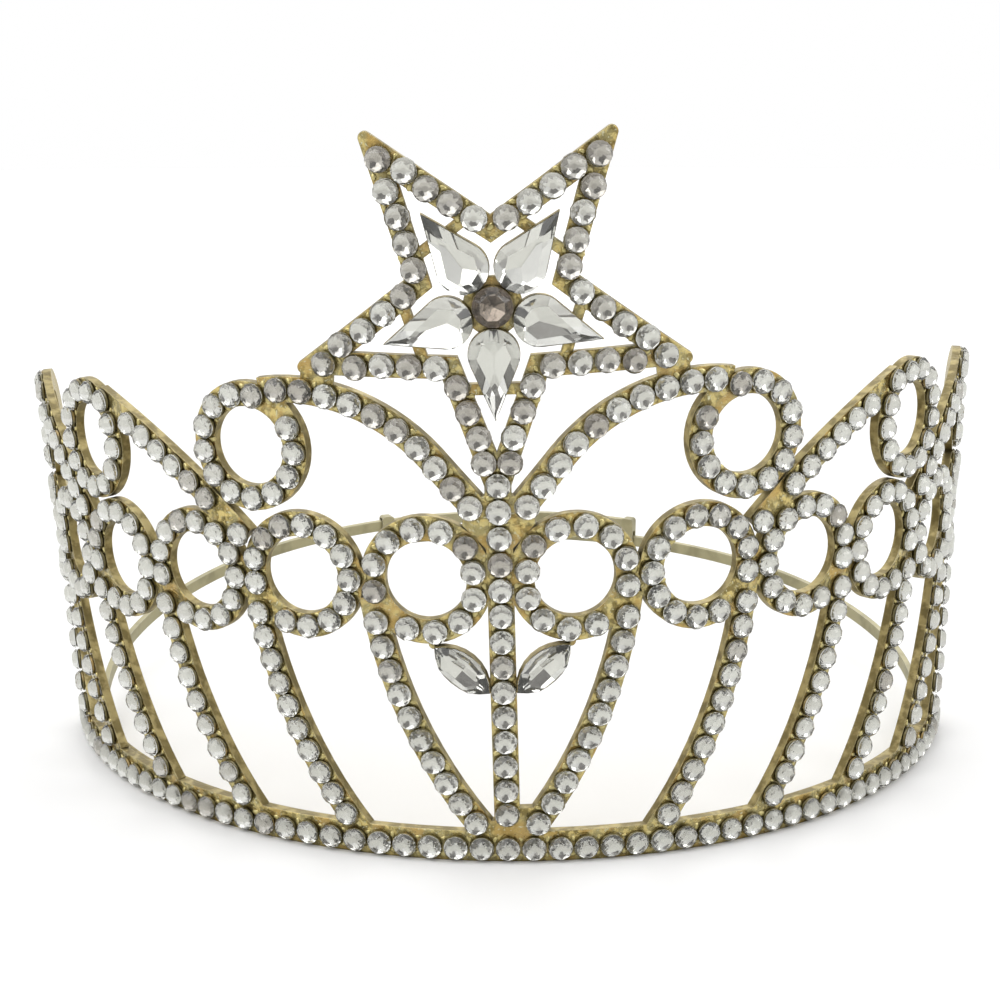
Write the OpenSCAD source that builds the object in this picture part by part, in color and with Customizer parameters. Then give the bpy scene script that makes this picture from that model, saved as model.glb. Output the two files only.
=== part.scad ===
// Fraternal regalia crown: an openwork brass front wall set with clear stones,
// a five-point star with its point down, and two thin back arms that overlap.
// Millimetres, +Z up. The origin is the centre of the wall's base circle, on the
// surface that the crown stands on. The front faces -Y, and +X is the viewer's right.
// Places on the wall are given as s, the arc along the base circle from the front
// centre (positive to the viewer's right), and h, the distance up the wall's slope.

/* [Wall] */
// Radius of the wall's outer face at its base
base_radius = 84; // [75:0.5:95]
// Outward flare of the wall, degrees
flare = 2.8; // [0.5:0.1:6]
// Lean of the bent wall to the viewer's left, degrees
lean = 1.55; // [0:0.05:3]
// Thickness of the lattice metal
metal = 1.5; // [1:0.1:2.5]
// Width of the flat strips
strip = 4.1; // [3:0.1:6]

/* [Base band] */
// Height of the base band
band_height = 5.2; // [4:0.1:8]
// Half of the angle that the band runs round, degrees
band_half_angle = 78.4; // [70:0.1:85]
// Thickness of the strip soldered behind the band
liner = 0.8; // [0.5:0.1:1.5]
// Height where that strip starts
liner_bottom = 0.8; // [0.3:0.1:2]
// Height where that strip ends
liner_top = 4.7; // [3:0.1:6]

/* [Rings] */
// Radius of a ring's hole
hole_radius = 6.3; // [5:0.1:7]
// Outer radius of a ring
ring_radius = 10.3; // [9:0.1:11]
// Place of the first lower ring along the arc
ring_start = 11.2; // [10.8:0.1:12]
// Arc between one lower ring and the next
ring_pitch = 19.8; // [19:0.1:20.5]
// Height of the first two lower rings
ring_height = 47.25; // [40:0.05:55]
// Drop of each lower ring after the second
ring_drop = 1.2; // [0:0.05:2]
// Lower rings on each side
ring_count = 6; // [3:1:6]
// Place of the first upper ring along the arc
upper_start = 38.5; // [36:0.1:40]
// Arc between one upper ring and the next
upper_pitch = 37.95; // [36:0.05:39]
// Heights of the three upper rings
upper_heights = [67.5, 64.8, 61.1]; // [58:0.1:70]

/* [Bars] */
// Place of the first bar's foot along the arc
foot_start = 4.9; // [3.5:0.1:6]
// Place of the second bar's foot
second_foot = 26; // [24:0.1:28]
// Arc between the feet after the second
foot_pitch = 19.6; // [19:0.1:20.5]
// Level of each bar's first stone above the surface
foot_level = 6.8; // [5:0.1:9]
// Curve radius of the first bar
first_bar_curve = 84; // [60:1:120]
// Curve radius of the other bars
bar_curve = 86; // [70:1:150]
// Distance of a bar's last stone from its ring's centre
bar_joint_radius = 10.6; // [9:0.1:12]
// Angle of that stone round the ring, degrees
bar_joint_angle = -40.4; // [-60:0.1:-20]
// Height of the solder between the stem and the first bars above the band, left and right
foot_solder = [1.9, 4]; // [0.2:0.1:5]

/* [Star] */
// Height of the star's centre
star_height = 89.4; // [85:0.1:95]
// Radius where the sides of a point would meet
star_radius = 33.2; // [30:0.1:36]
// Rounding of the star's points
star_tip_round = 0.95; // [0.3:0.05:2]
// Radius of the star's notches
notch_radius = 13.3; // [12:0.1:15]
// Radius of the points of the star's opening
opening_radius = 22.2; // [18:0.1:26]
// Radius of the opening's notches
opening_notch = 9.2; // [7:0.1:12]
// Radius of the points of the line that the star's stones follow
stone_line_radius = 26.42; // [24:0.02:29]
// Radius of that line's notches
stone_line_notch = 11.34; // [10:0.02:13]
// Length and width of the solder that joins a side point to the swoop under it
solder = [5.2, 2.6]; // [1:0.1:8]
// Middle of that solder, out from the star's centre and down
solder_place = [26.8, 10.6]; // [5:0.1:35]

/* [Swoops and diagonals] */
// Curve radius of a swoop
swoop_curve = 28.5; // [25:0.1:32]
// Height of the centre of that curve
swoop_centre_height = 48.2; // [44:0.1:52]
// Distance of that centre from the middle of the front
swoop_centre_out = 32.1; // [28:0.1:35]
// Curve radius of a diagonal
diagonal_curve = 79; // [70:1:150]
// How far a diagonal's lower end lies toward the front from its upper ring, and below it
diagonal_low = [35, 11.7]; // [5:0.1:40]
// How far its upper end lies toward the front from that ring, and above it
diagonal_high = [5.8, 7.1]; // [2:0.1:10]

/* [Round stones] */
// Diameter of the small round stones
stone = 3.84; // [3:0.02:4]
// Height of the small round stones
stone_rise = 1.5; // [0.8:0.05:2]
// Diameter of their tables
stone_table = 2.1; // [1.5:0.1:3]
// Pitch of the stones on the band and the stem
stone_pitch = 4.15; // [4:0.01:4.5]
// Level of the band's stones
band_stone_level = 2.4; // [2:0.1:3]
// Air between a stone and the metal
air = 0.1; // [0.05:0.01:0.2]

/* [Large stones] */
// Width of a pear-shaped stone
pear_width = 7; // [6:0.1:9]
// Length of a pear-shaped stone
pear_length = 12.8; // [11:0.1:15]
// Distance from the star's centre to a pear's round end
pear_start = 3.6; // [3.5:0.1:6]
// Diameter of the centre stone
centre_diameter = 5.4; // [5:0.1:7]
// Length of a leaf stone
leaf_length = 9.8; // [9:0.1:13]
// Width of a leaf stone
leaf_width = 4.7; // [4:0.1:7]
// Angle of a leaf above level, degrees
leaf_angle = 42; // [30:1:60]
// Place of a leaf's centre along the arc
leaf_out = 6.1; // [5.8:0.1:8]
// Height of a leaf's centre
leaf_height = 33; // [28:0.1:36]
// Wall thickness of the settings
cup_wall = 0.3; // [0.3:0.05:0.6]
// Height of the settings above the wall
cup_rise = 1; // [0.8:0.1:2]
// Thickness of the settings' floors
cup_floor = 0.5; // [0.4:0.1:1.2]
// Height of the large stones above the wall
large_rise = 2.6; // [2:0.1:4]

/* [Back arms] */
// Height of an arm's strip
arm_height = 2.5; // [2:0.1:4]
// Thickness of an arm's strip
arm_thickness = 1.1; // [0.8:0.1:2]
// Air between an arm and the metal beside it
arm_air = 0.15; // [0.1:0.01:0.3]
// Angle where the arms start behind the band, degrees
arm_start_angle = 71; // [65:0.5:76]
// Radius of an arm's side curve
arm_side_curve = 90; // [88:0.5:100]
// Distance from the origin to the back of the arms
arm_back = 85; // [83:0.5:87]
// Level of the right arm's middle where it starts
right_arm_level = 2.4; // [2:0.1:3]
// Level of the left arm's middle where it starts
left_arm_level = 2.6; // [2:0.1:3]
// Rise of the right arm toward the back, degrees
right_arm_rise = 5.05; // [4.5:0.05:5.5]
// Rise of the left arm toward the back, degrees
left_arm_rise = 7.1; // [6.8:0.05:8]
// Where the right arm's collar stands, to the viewer's left of centre
right_collar_out = 30.6; // [20:0.1:40]
// Where the left arm's collar stands, to the viewer's right of centre
left_collar_out = 28.8; // [20:0.1:40]
// Width of a collar along the arm
collar_width = 3; // [2:0.1:5]
// Sheet thickness of a collar
collar_sheet = 0.5; // [0.4:0.05:1]
// Rounding of a collar's corners
collar_round = 0.8; // [0.2:0.1:1.2]

/* [Hidden] */
$fn = 96;
brass = [0.72, 0.6, 0.3];
pale_brass = [0.8, 0.74, 0.58];
clear = [0.9, 0.92, 0.95];
stone_circle = (hole_radius + ring_radius) / 2;
ring_step = 27.7;
pear_belly = pear_start + pear_width / 2;
pear_tip = pear_start + pear_length;
swoop_middle = [19, 66];
swoop_centre = [swoop_centre_out - swoop_middle[0] * wall_radius(swoop_middle[1]) / base_radius,
    swoop_centre_height - swoop_middle[1]];
swoop_top = 80;
swoop_end = 141;
swoop_overlap = 0.4;
swoop_tail = 11;
bar_foot_run = 3.6;
bar_joint_run = 4;
diagonal_run = 1;
solder_turn = 5;
centre_plate = 4.4;
// How far the floors of the settings stand above the wall.
cup_seat = 0.05;
// Solder of the leaves: side of the square pad at the stem, its middle, and the dab at the outer tip.
leaf_pad = 2;
leaf_pad_place = [2.5, 29.8];
leaf_dab = 0.8;
leaf_dab_place = [10.4, 36.9];
tie_start = 11.6;
tie_width = 1.7;
tie_length = 8.8;
stem_bottom = 3;
stem_top = 63;
stem_first_stone = 8.3;
junction_height = 57;
junction = [[-5.6, -1], [0, -7], [5.6, -1], [5.2, 1.6], [0, 5], [-5.2, 1.6]];
// Least distance of a ring's stone from the middle of the front, beside the stem's stones.
stem_clear = 4.02;
// How far the drawings reach behind the wall's face, small and wide ones, and in front of it.
small_depth = 4;
wide_depth = 8;
ahead = 2;
// How far the strip behind the band bites into it, and how much shorter it is at each end, degrees.
liner_bite = 0.45;
liner_short = 0.5;
arm_radius = base_radius - metal - liner - arm_air - arm_thickness / 2;
arm_start_y = -arm_radius * cos(arm_start_angle);
arm_side_centre = arm_side_curve - arm_radius;
arm_back_curve = (pow(arm_radius, 2) + pow(arm_back, 2) - 2 * arm_radius * arm_side_curve)
    / (2 * (arm_back - arm_side_curve));
arm_back_centre = arm_back - arm_back_curve;
arm_turn = atan2(arm_back_centre, arm_side_centre);
right_collar_angle = acos(-right_collar_out / arm_back_curve);
left_collar_angle = acos(left_collar_out / arm_back_curve);

// Radius of the wall's outer face at height h.
function wall_radius(h) = base_radius + h * sin(flare);
// Height on the wall where it stands at a given level above the surface.
function level_to_h(s, level) =
    (level - base_radius * sin(s / base_radius * 180 / PI) * sin(lean)) / cos(lean) / cos(flare);
// Wall place of a point x, y of the flat drawing laid on the wall at place p.
function drawn(p, x, y) =
    [p[0] + asin(x / wall_radius(p[1] + y)) * PI / 180 * base_radius, p[1] + y];
// Flat drawing of wall place q, laid on the wall at place p.
function flat(p, q) =
    [wall_radius(q[1]) * sin((q[0] - p[0]) / base_radius * 180 / PI), q[1] - p[1]];

function ring_place(n) = [ring_start + ring_pitch * (n - 1), ring_height - ring_drop * max(0, n - 2)];
function upper_place(n) = [upper_start + upper_pitch * (n - 1), upper_heights[n - 1]];
function mirrored(side, p) = [side * p[0], p[1]];

// Corners of a star: even numbers are points, odd numbers are notches, from the lower point round.
function star_corner(k, point, notch) =
    (k % 2 == 0 ? point : notch) * [cos(-90 + 36 * k), sin(-90 + 36 * k)];
function star_outline(point, notch) = [for (k = [0:9]) star_corner(k, point, notch)];

// Centre of the circle of radius r through a and b, on the left of the way from a to b.
function arc_centre(a, b, r) =
    (a + b) / 2 + sqrt(r * r - pow(norm(b - a) / 2, 2)) / norm(b - a) * [a[1] - b[1], b[0] - a[0]];
function angle_of(v) = atan2(v[1], v[0]);
// Turn from angle p to angle q, anticlockwise, 0 to 360.
function turn(p, q) = (q - p + 720) % 360;

// Feet, joints and middles of the bars; side is -1 for the viewer's left, 1 for the right.
function foot_place(side, n) =
    let (s = side * (n == 1 ? foot_start : second_foot + foot_pitch * (n - 2)))
    [s, level_to_h(s, foot_level)];
function joint_place(side, n) = mirrored(side, drawn(ring_place(n),
    bar_joint_radius * cos(bar_joint_angle), bar_joint_radius * sin(bar_joint_angle)));
function bar_middle(side, n) = (foot_place(side, n) + joint_place(side, n)) / 2;
function bar_radius(n) = n == 1 ? first_bar_curve : bar_curve;

// Place of a wall drawing: X along the wall, Y up it, Z outward.
module on_wall(p)
    rotate([0, -lean, 0])
    rotate([0, 0, p[0] / base_radius * 180 / PI])
    translate([0, -wall_radius(p[1]), p[1] * cos(flare)])
    rotate([90 + flare, 0, 0])
        children();

// Carries a flat drawing through the wall, from a given depth behind its face to a little in front.
module through(p, depth)
    on_wall(p)
    translate([0, 0, -depth])
    linear_extrude(depth + ahead)
        children();

// Curved strip of given width between a and b, its curve centre left of the way from a to b.
module curved_strip(p, depth, a, b, r, width, before, after) {
    centre = arc_centre(a, b, r);
    from = angle_of(a - centre) - before / r * 180 / PI;
    to = angle_of(b - centre) + after / r * 180 / PI;
    on_wall(p)
    translate([centre[0], centre[1], -depth])
    rotate([0, 0, from])
    rotate_extrude(angle = turn(from, to))
    translate([r - width / 2, 0])
        square([width, depth + ahead]);
}

// The whole wall as a thin flared shell, taller than the crown.
module wall_shell() {
    below = 8;
    above = 125;
    rotate([0, -lean, 0])
    difference() {
        translate([0, 0, -below])
            cylinder(h = below + above, r1 = base_radius - below * tan(flare),
                r2 = base_radius + above * tan(flare));
        translate([0, 0, -below - 1])
            cylinder(h = below + above + 2, r1 = base_radius - metal - (below + 1) * tan(flare),
                r2 = base_radius - metal + (above + 1) * tan(flare));
    }
}

// Sector of a ring about the origin, from angle -half to half about the front.
module front_sector(inner, outer, bottom, top, half)
    rotate([0, 0, -90 - half])
    rotate_extrude(angle = 2 * half)
    translate([inner, bottom])
        square([outer - inner, top - bottom]);

module bar_strip(side, n) {
    middle = bar_middle(side, n);
    foot = flat(middle, foot_place(side, n));
    joint = flat(middle, joint_place(side, n));
    if (side > 0)
        curved_strip(middle, small_depth, foot, joint, bar_radius(n), strip, bar_foot_run, bar_joint_run);
    else
        curved_strip(middle, small_depth, joint, foot, bar_radius(n), strip, bar_joint_run, bar_foot_run);
}

// Swoop from an upper ring's top down to the middle of the front.
module swoop_strip(side) {
    centre = mirrored(side, swoop_centre);
    corner = centre + swoop_curve * [side * cos(swoop_end), sin(swoop_end)];
    on_wall(mirrored(side, swoop_middle))
    translate([0, 0, -wide_depth]) {
        translate([centre[0], centre[1], 0])
        rotate([0, 0, side > 0 ? swoop_top : 180 - swoop_end - 1])
        rotate_extrude(angle = swoop_end - swoop_top + 1)
        translate([swoop_curve - strip / 2, 0])
            square([strip, wide_depth + ahead]);
        translate([corner[0], corner[1], 0])
        rotate([0, 0, side > 0 ? swoop_end + 90 : 90 - swoop_end])
        translate([-swoop_overlap, -strip / 2, 0])
            cube([swoop_overlap + swoop_tail, strip, wide_depth + ahead]);
    }
}

module diagonal_strip(side, n) {
    low = mirrored(side, upper_place(n) - diagonal_low);
    high = mirrored(side, [upper_place(n)[0] - diagonal_high[0], upper_place(n)[1] + diagonal_high[1]]);
    middle = (low + high) / 2;
    a = flat(middle, low);
    b = flat(middle, high);
    if (side > 0)
        curved_strip(middle, wide_depth, b, a, diagonal_curve, strip, diagonal_run, diagonal_run);
    else
        curved_strip(middle, wide_depth, a, b, diagonal_curve, strip, diagonal_run, diagonal_run);
}

module star_drawing()
    difference() {
        offset(r = star_tip_round)
        offset(delta = -star_tip_round)
            polygon(star_outline(star_radius, notch_radius));
        polygon(star_outline(opening_radius, opening_notch));
    }

// Small ties between the pear settings and the star, and the plate at its centre.
module star_ties() {
    circle(r = centre_plate);
    for (k = [0:2:8])
        rotate([0, 0, -90 + 36 * k])
        translate([tie_start, -tie_length / 2])
            square([tie_width, tie_length]);
}

// Solder between the star's side points and the swoops.
module star_solder()
    for (side = [-1, 1])
        translate([side * solder_place[0], -solder_place[1]])
        rotate([0, 0, side * solder_turn])
            square(solder, center = true);

// Solder that closes the narrow foot of the gap between the stem and each first bar.
module foot_fills()
    for (k = [0:1])
        mirror([1 - k, 0])
            square([foot_start, band_height - stem_bottom + foot_solder[k]]);

module lattice()
    difference() {
        union() {
            for (side = [-1, 1]) {
                for (n = [1:ring_count]) {
                    through(mirrored(side, ring_place(n)), small_depth)
                        circle(r = ring_radius);
                    bar_strip(side, n);
                }
                for (n = [1:3])
                    through(mirrored(side, upper_place(n)), small_depth)
                        circle(r = ring_radius);
                for (n = [2:3])
                    diagonal_strip(side, n);
                swoop_strip(side);
            }
            through([0, stem_bottom], small_depth)
                translate([-strip / 2, 0])
                    square([strip, stem_top - stem_bottom]);
            through([0, junction_height], small_depth)
                polygon(junction);
            through([0, stem_bottom], small_depth)
                foot_fills();
            for (side = [-1, 1]) {
                through(mirrored(side, leaf_pad_place), small_depth)
                    square(leaf_pad, center = true);
                through(mirrored(side, leaf_dab_place), small_depth)
                    circle(r = leaf_dab);
            }
            through([0, star_height], wide_depth) {
                star_drawing();
                star_solder();
            }
            through([0, star_height], small_depth)
                star_ties();
            front_sector(base_radius - small_depth, base_radius + small_depth, 0, band_height, band_half_angle);
        }
        for (side = [-1, 1]) {
            for (n = [1:ring_count])
                through(mirrored(side, ring_place(n)), wide_depth)
                    circle(r = hole_radius);
            for (n = [1:3])
                through(mirrored(side, upper_place(n)), wide_depth)
                    circle(r = hole_radius);
        }
    }

// Outline of a pear, point toward +X, its round end centred on the origin.
function pear_outline(radius, reach, corners) =
    let (open = acos(radius / reach))
    concat([[reach, 0]], [for (k = [0:corners]) let (a = open + (360 - 2 * open) * k / corners)
        radius * [cos(a), sin(a)]]);
// Outline of a leaf, its length along X.
function leaf_outline(length, width, corners) =
    let (r = (length * length + width * width) / (4 * width), half = asin(length / 2 / r))
    concat([for (k = [0:corners - 1]) let (a = 90 - half + 2 * half * k / corners)
        [r * cos(a), r * sin(a) - r + width / 2]],
        [for (k = [0:corners - 1]) let (a = 270 - half + 2 * half * k / corners)
        [r * cos(a), r * sin(a) + r - width / 2]]);
function round_outline(radius, corners) =
    [for (k = [0:corners - 1]) radius * [cos(360 / corners * (k + 0.5)), sin(360 / corners * (k + 0.5))]];

// Faceted stone: a straight girdle, sloping facets and a flat table.
module cut_stone(outline, bottom, girdle, top, table_scale) {
    n = len(outline);
    centre = [for (i = [0:1]) (max([for (q = outline) q[i]]) + min([for (q = outline) q[i]])) / 2];
    points = concat([for (q = outline) [q[0], q[1], bottom]],
        [for (q = outline) [q[0], q[1], girdle]],
        [for (q = outline) let (t = centre + (q - centre) * table_scale) [t[0], t[1], top]]);
    faces = concat([[for (k = [0:n - 1]) k]],
        [for (k = [0:n - 1]) [k, k + n, (k + 1) % n + n, (k + 1) % n]],
        [for (k = [0:n - 1]) [k + n, k + 2 * n, (k + 1) % n + 2 * n, (k + 1) % n + n]],
        [[for (k = [n - 1:-1:0]) k + 2 * n]]);
    polyhedron(points = points, faces = faces, convexity = 2);
}

// Pear setting or stone place: k counts the star's points from the lower one round.
function pear_place(k) = drawn([0, star_height], pear_belly * cos(-90 + 36 * k), pear_belly * sin(-90 + 36 * k));
module at_pear(k)
    on_wall(pear_place(k))
    rotate([0, 0, -90 + 36 * k])
        children();

module at_leaf(side)
    on_wall([side * leaf_out, leaf_height])
    rotate([0, 0, side > 0 ? leaf_angle : 180 - leaf_angle])
        children();

module pear_cup(k)
    at_pear(k)
    difference() {
        translate([0, 0, -cup_floor])
        linear_extrude(cup_floor + cup_rise)
            polygon(pear_outline(pear_width / 2 + air + cup_wall, pear_tip - pear_belly + air + 2 * cup_wall, 20));
        translate([0, 0, cup_seat])
        linear_extrude(cup_rise + 1)
            polygon(pear_outline(pear_width / 2 + air, pear_tip - pear_belly + air * 2, 20));
    }

module leaf_cup(side)
    at_leaf(side)
    difference() {
        translate([0, 0, -cup_floor])
        linear_extrude(cup_floor + cup_rise)
            polygon(leaf_outline(leaf_length + 4 * (air + cup_wall), leaf_width + 2 * (air + cup_wall), 8));
        translate([0, 0, cup_seat])
        linear_extrude(cup_rise + 1)
            polygon(leaf_outline(leaf_length + 4 * air, leaf_width + 2 * air, 8));
    }

module centre_cup()
    on_wall([0, star_height])
    difference() {
        translate([0, 0, -cup_floor])
            cylinder(h = cup_floor + cup_rise, r = centre_diameter / 2 + air + cup_wall);
        translate([0, 0, cup_seat])
            cylinder(h = cup_rise + 1, r = centre_diameter / 2 + air);
    }

module crown_frame()
    color(brass)
    union() {
        intersection() {
            wall_shell();
            lattice();
        }
        front_sector(base_radius - metal - liner, base_radius - metal + liner_bite, liner_bottom, liner_top,
            band_half_angle - liner_short);
        for (k = [0:2:8])
            pear_cup(k);
        for (side = [-1, 1])
            leaf_cup(side);
        centre_cup();
    }

// Points of an arc, without its last one.
function arc_points(centre, r, from, to, count) =
    [for (i = [0:count - 1]) let (a = from + (to - from) * i / count) centre + r * [cos(a), sin(a)]];
// Plan of the viewer's right arm, moved outward by shift, ending at an angle of the back curve.
function arm_line(shift, end_angle) = concat(
    arc_points([0, 0], arm_radius + shift, arm_start_angle - 90, 0, 8),
    arc_points([-arm_side_centre, 0], arm_side_curve + shift, 0, arm_turn, 20),
    arc_points([0, arm_back_centre], arm_back_curve + shift, arm_turn, end_angle, 28),
    arc_points([0, arm_back_centre], arm_back_curve + shift, end_angle, end_angle, 1));
function backwards(list) = [for (i = [len(list) - 1:-1:0]) list[i]];
// Plan stretched from the arm's start, so that its rise leaves the plan as drawn.
function stretched(list, rise) = [for (q = list) [q[0], arm_start_y + (q[1] - arm_start_y) / cos(rise)]];
// Level of the middle of an arm at the back curve's angle.
function arm_level(level, rise, angle) =
    level + (arm_back_centre + arm_back_curve * sin(angle) - arm_start_y) * tan(rise);

// Strip of the viewer's right arm, rising toward the back.
module arm_strip(level, rise, end_angle)
    translate([0, arm_start_y, level])
    rotate([rise, 0, 0])
    translate([0, -arm_start_y, -arm_height / 2])
    linear_extrude(arm_height)
        polygon(stretched(concat(arm_line(arm_thickness / 2, end_angle),
            backwards(arm_line(-arm_thickness / 2, end_angle))), rise));

// Upright rectangle from bottom to top, centred, with rounded corners.
function rounded(width, bottom, top, r) = concat(
    arc_points([width / 2 - r, top - r], r, 0, 112.5, 5),
    arc_points([r - width / 2, top - r], r, 90, 202.5, 5),
    arc_points([r - width / 2, bottom + r], r, 180, 292.5, 5),
    arc_points([width / 2 - r, bottom + r], r, 270, 382.5, 5));

// Sheet collar across both arms at the back curve's angle, with an opening for the other arm.
module collar(angle, bottom, top, open_from, open_to) {
    slot = arm_thickness + 4 * arm_air;
    depth = slot + 2 * collar_sheet;
    translate([0, arm_back_centre, 0])
    rotate([0, 0, angle])
    translate([arm_back_curve, 0, 0])
    difference() {
        translate([-depth / 2, 0, 0])
        rotate([90, 0, 90])
        linear_extrude(depth)
            polygon(rounded(collar_width, bottom, top, collar_round));
        translate([-slot / 2, -collar_width, open_from])
            cube([slot, 2 * collar_width, open_to - open_from]);
    }
}

module back_arm_right() {
    own = arm_level(right_arm_level, right_arm_rise, right_collar_angle);
    other = arm_level(left_arm_level, left_arm_rise, right_collar_angle);
    color(pale_brass)
    union() {
        arm_strip(right_arm_level, right_arm_rise, right_collar_angle);
        collar(right_collar_angle, own - arm_height / 2 - 1, other + arm_height / 2 + 1,
            own + arm_height / 2 + 0.4, other + arm_height / 2 + 1 - collar_sheet);
    }
}

module back_arm_left() {
    own = arm_level(left_arm_level, left_arm_rise, left_collar_angle);
    other = arm_level(right_arm_level, right_arm_rise, left_collar_angle);
    color(pale_brass)
    union() {
        mirror([1, 0, 0])
            arm_strip(left_arm_level, left_arm_rise, 180 - left_collar_angle);
        collar(left_collar_angle, other - arm_height / 2 - 1, own + arm_height / 2 + 0.3,
            other - arm_height / 2 - 1 + collar_sheet, own - arm_height / 2 - 0.4);
    }
}

module small_stone(p)
    on_wall(p)
    translate([0, 0, air])
        cylinder(h = stone_rise, r1 = stone / 2, r2 = stone_table / 2, $fn = 8);

module band_stones()
    color(clear)
    for (k = [-27:27])
        small_stone([k * stone_pitch, level_to_h(k * stone_pitch, band_stone_level)]);

module stem_stones()
    color(clear)
    for (k = [0:13])
        small_stone([0, stem_first_stone + k * stone_pitch]);

// Stones along the star's strip from corner k to the next, from a share of the way, by a step.
// The stones next to a point are pushed out by spread, so that the two rows clear each other.
module star_row(side, k, start, step, count, least, spread) {
    a = star_corner(k, stone_line_radius, stone_line_notch);
    b = star_corner(k + 1, stone_line_radius, stone_line_notch);
    point = k % 2 == 0 ? a : b;
    outward = [b[1] - a[1], a[0] - b[0]] / norm(b - a);
    for (i = [0:count - 1])
        let (q = a + (b - a) * (start + step * i),
            near = norm(q - point),
            out = q + (near > 2 && near < 6 ? spread : 0) * outward)
            small_stone(mirrored(side, drawn([0, star_height], max(out[0], least), out[1])));
}

module star_stones()
    color(clear)
    for (side = [-1, 1]) {
        star_row(side, 0, 0.16, 0.2265, 4, 1.99, 0);
        star_row(side, 1, 0.103, 0.219, 4, 0, 0.55);
        star_row(side, 2, -0.025, 0.218, 5, 0, 0.55);
        star_row(side, 3, 0.112, 0.2165, 4, 0, 0.55);
        star_row(side, 4, -0.02, 0.2175, 5, 0, 0.55);
    }

// Stones round a ring from an angle, and never closer to the stem than its stones allow.
module ring_row(side, p, from, step, count)
    for (i = [0:count - 1])
        let (a = from + step * i, q = drawn(p, stone_circle * cos(a), stone_circle * sin(a)))
            small_stone(mirrored(side, [max(q[0], stem_clear), q[1]]));

module ring_stones()
    color(clear)
    for (side = [-1, 1]) {
        ring_row(side, ring_place(1), bar_joint_angle + ring_step, 30.5, 11);
        ring_row(side, ring_place(2), bar_joint_angle + ring_step, ring_step, 12);
    }

module upper_ring_stones()
    color(clear)
    for (side = [-1, 1])
        ring_row(side, upper_place(1), 156.1, 27.9, 12);

module swoop_stones() {
    first_angle = 86.5;
    arc_step = 8.13;
    last = swoop_centre + swoop_curve * [cos(first_angle + 6 * arc_step), sin(first_angle + 6 * arc_step)];
    straight_pitch = 3.99;
    straight_angle = 232;
    straight_step = straight_pitch * [cos(straight_angle), sin(straight_angle)];
    places = concat(
        [for (i = [0:6]) let (a = first_angle + arc_step * i) swoop_centre + swoop_curve * [cos(a), sin(a)]],
        [for (i = [1:3]) last + straight_step * i]);
    color(clear)
    for (side = [-1, 1], q = places)
        small_stone(mirrored(side, drawn(swoop_middle, q[0], q[1])));
}

// Stones along a bar from its foot to its joint with the ring.
module bar_row(side, n, count)
    for (i = [0:count - 1])
        let (middle = bar_middle(side, n),
            a = flat(middle, foot_place(side, n)), b = flat(middle, joint_place(side, n)),
            centre = side > 0 ? arc_centre(a, b, bar_radius(n)) : arc_centre(b, a, bar_radius(n)),
            start = angle_of(a - centre), end = angle_of(b - centre),
            sweep = ((end - start + 540) % 360) - 180,
            t = start + sweep * i / (count - 1))
            small_stone(drawn(middle, centre[0] + bar_radius(n) * cos(t), centre[1] + bar_radius(n) * sin(t)));

module bar_stones()
    color(clear)
    for (side = [-1, 1])
        bar_row(side, 1, 10);

module pear_stone(k)
    color(clear)
    at_pear(k)
        cut_stone(pear_outline(pear_width / 2, pear_tip - pear_belly, 13), cup_seat + air, cup_rise, large_rise, 0.5);

module leaf_stone(side)
    color(clear)
    at_leaf(side)
        cut_stone(leaf_outline(leaf_length, leaf_width, 6), cup_seat + air, cup_rise, large_rise, 0.5);

module centre_stone()
    color(clear)
    on_wall([0, star_height])
        cut_stone(round_outline(centre_diameter / 2, 12), cup_seat + air, cup_rise, large_rise, 0.55);

module pear_stone_bottom() pear_stone(0);
module pear_stone_right() pear_stone(2);
module pear_stone_upper_right() pear_stone(4);
module pear_stone_upper_left() pear_stone(6);
module pear_stone_left() pear_stone(8);
module leaf_stone_left() leaf_stone(-1);
module leaf_stone_right() leaf_stone(1);

crown_frame();
back_arm_left();
back_arm_right();
centre_stone();
pear_stone_upper_left();
pear_stone_upper_right();
pear_stone_left();
pear_stone_right();
pear_stone_bottom();
leaf_stone_left();
leaf_stone_right();
band_stones();
stem_stones();
star_stones();
ring_stones();
upper_ring_stones();
swoop_stones();
bar_stones();
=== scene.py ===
"""Fraternal regalia crown: cut stones, their foil and glue, gilt finishes, floor, lights and camera,
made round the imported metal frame."""

import math

import bmesh
import bpy
import numpy as np
from mathutils import Matrix, Vector
from mathutils.bvhtree import BVHTree


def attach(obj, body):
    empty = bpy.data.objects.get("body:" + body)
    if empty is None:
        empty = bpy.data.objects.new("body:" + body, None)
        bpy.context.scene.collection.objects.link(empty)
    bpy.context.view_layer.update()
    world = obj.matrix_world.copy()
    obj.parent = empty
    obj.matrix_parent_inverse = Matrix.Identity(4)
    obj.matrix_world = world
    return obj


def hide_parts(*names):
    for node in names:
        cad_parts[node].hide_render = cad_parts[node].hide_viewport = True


bl_info = {
    "name": "Regalia Crown",
    "version": (1, 0, 0),
    "blender": (4, 5, 0),
    "location": "View3D > Sidebar > Crown",
    "description": "Sets cut stones, glue and gilt finishes on an openwork regalia crown",
    "category": "Add Mesh",
}

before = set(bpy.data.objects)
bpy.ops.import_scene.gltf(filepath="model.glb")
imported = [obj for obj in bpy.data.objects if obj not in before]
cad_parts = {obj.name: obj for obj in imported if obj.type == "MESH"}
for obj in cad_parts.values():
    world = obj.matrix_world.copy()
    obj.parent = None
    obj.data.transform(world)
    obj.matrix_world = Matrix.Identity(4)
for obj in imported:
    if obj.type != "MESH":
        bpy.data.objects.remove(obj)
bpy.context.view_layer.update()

MM = 0.001
BODY = "root"
UP = Vector((0, 0, 1))
SIDES = (-1, 1)

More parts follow.
